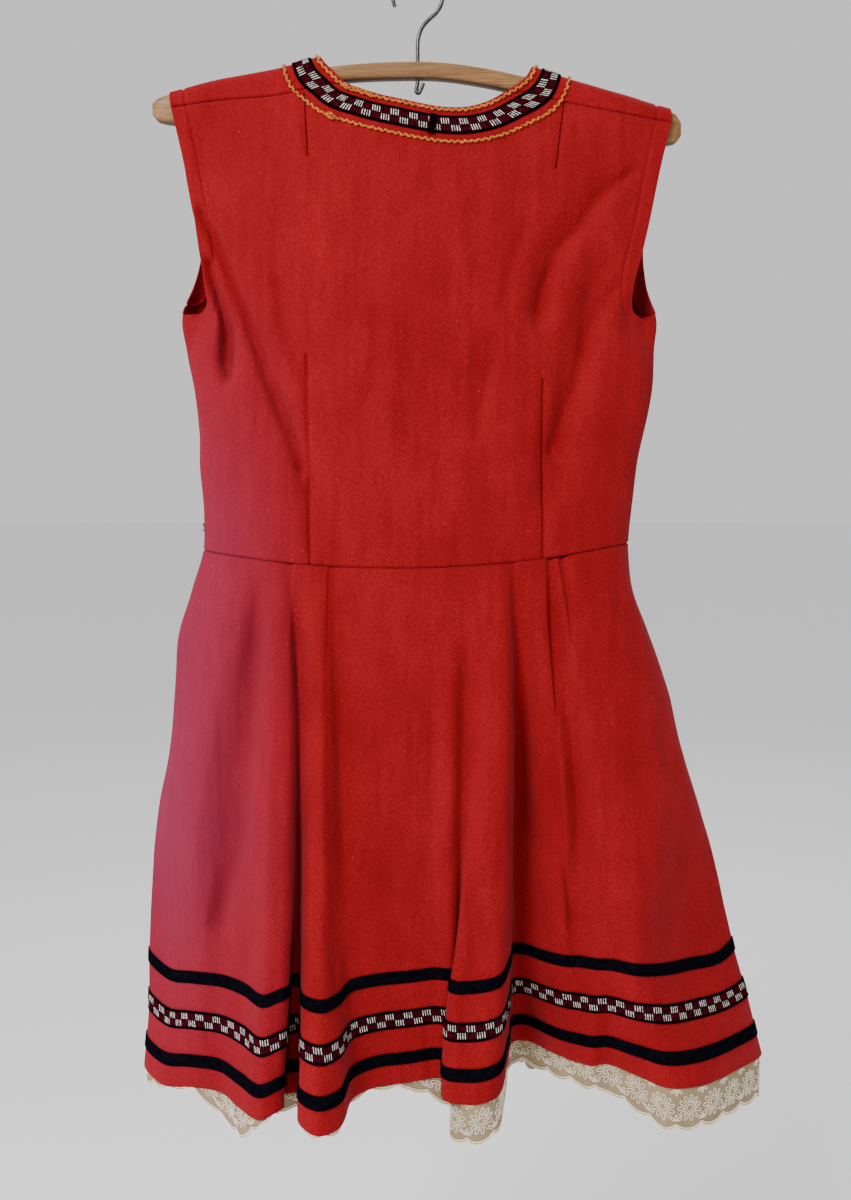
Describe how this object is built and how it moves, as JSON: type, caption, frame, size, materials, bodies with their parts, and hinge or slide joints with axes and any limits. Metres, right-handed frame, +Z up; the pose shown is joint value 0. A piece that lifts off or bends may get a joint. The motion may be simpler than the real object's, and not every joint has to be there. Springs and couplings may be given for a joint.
{
  "type": "sleeveless folk dress on a wooden hanger",
  "caption": "Sleeveless red wool folk dress with fitted bodice, flared pleated skirt, ribbon and braid trims at neck and hem and a lace edge, hanging on a wooden hanger.",
  "frame": {"origin": "inside top of the hanger's wire hook, where it hangs on a rod", "axes": "+Z up, -Y out of the back of the dress, which faces the camera in the picture, +X to the right of the picture"},
  "size_m": [0.5436, 0.216, 0.9698],
  "materials": {
    "red_wool": "matt felted wool",
    "woven_ribbon": "black ribbon woven with white and dark red bars",
    "gold_braid": "soft sheen",
    "black_velvet": "velvet",
    "lace": "embroidered fine net",
    "hanger_wood": "satin",
    "steel_wire": "satin"
  },
  "bodies": {
    "root": {"back_bodice": "red_wool", "front_bodice": "red_wool", "back_skirt": "red_wool", "front_skirt": "red_wool", "neck_ribbon": "woven_ribbon", "neck_braid_inner": "gold_braid", "neck_braid_outer": "gold_braid", "hem_velvet_upper": "black_velvet", "hem_woven_band": "woven_ribbon", "hem_velvet_lower": "black_velvet", "hem_lace": "lace", "side_hook": "steel_wire", "hanger_bar": "hanger_wood", "hanger_hook": "steel_wire"}
  },
  "joints": []
}
